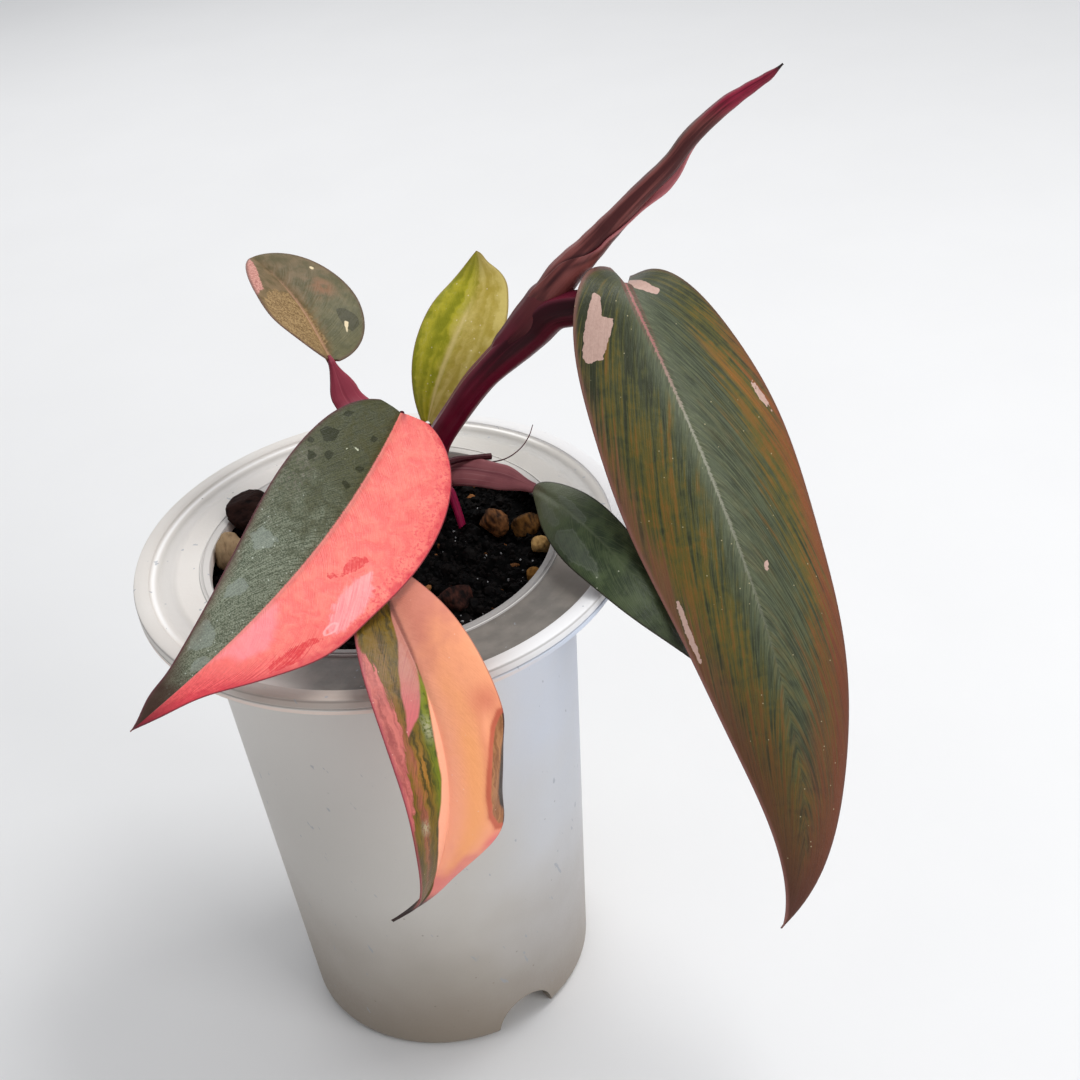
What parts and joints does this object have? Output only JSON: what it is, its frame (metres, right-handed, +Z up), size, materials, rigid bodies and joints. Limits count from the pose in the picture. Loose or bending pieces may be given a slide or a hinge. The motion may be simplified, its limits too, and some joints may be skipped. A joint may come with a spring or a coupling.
{
  "type": "potted fire princess philodendron",
  "caption": "Young variegated philodendron with dark, coral, peach and lime leaves and a rolled new leaf, growing in a frosted plastic nursery pot.",
  "frame": {"origin": "middle of the flat face under the pot", "axes": "+Z up, -Y towards the front of the plant, where the peach leaf hangs over the brim"},
  "size_m": [0.1416, 0.127, 0.21],
  "materials": {
    "frosted_plastic": "frosted translucent polypropylene",
    "potting_mix": "dark moist peat mix with pale specks",
    "bark": "rough bark chips",
    "dark_bark": "dark rough bark",
    "pumice": "rough pale pumice",
    "stem": "smooth maroon stem",
    "stalk": "satin burgundy stalk",
    "dusky_stalk": "satin dusty purple stalk",
    "root": "smooth magenta root",
    "twig": "dry dark twig",
    "big_blade": "waxy dark olive with rust and green streaks",
    "half_moon_blade": "waxy, half grey-green and half coral pink",
    "drooping_blade": "waxy peach and pink with olive streaks",
    "dark_blade": "waxy deep green",
    "oval_blade": "waxy khaki with a pink patch",
    "lime_blade": "waxy lime green",
    "rolled_blade": "satin maroon rolled leaf"
  },
  "bodies": {
    "root": {"pot": "frosted_plastic", "potting_mix": "potting_mix", "main_stem": "stem", "big_leaf": "big_blade", "big_leaf_stalk": "stalk", "half_moon_leaf": "half_moon_blade", "half_moon_leaf_stalk": "stalk", "oval_leaf": "oval_blade", "oval_leaf_stalk": "stalk", "lime_leaf": "lime_blade", "lime_leaf_stalk": "stalk", "drooping_leaf": "drooping_blade", "drooping_leaf_stalk": "dusky_stalk", "dark_leaf": "dark_blade", "dark_leaf_stalk": "dusky_stalk", "new_leaf": "rolled_blade", "dry_stub": "twig", "aerial_root": "root", "bark_chip_front": "bark", "bark_chip_right": "bark", "bark_chip_edge": "bark", "bark_chip_back": "dark_bark", "pumice_chip_edge": "pumice", "pumice_chip_front": "pumice", "pumice_chip_left": "pumice"}
  },
  "joints": []
}
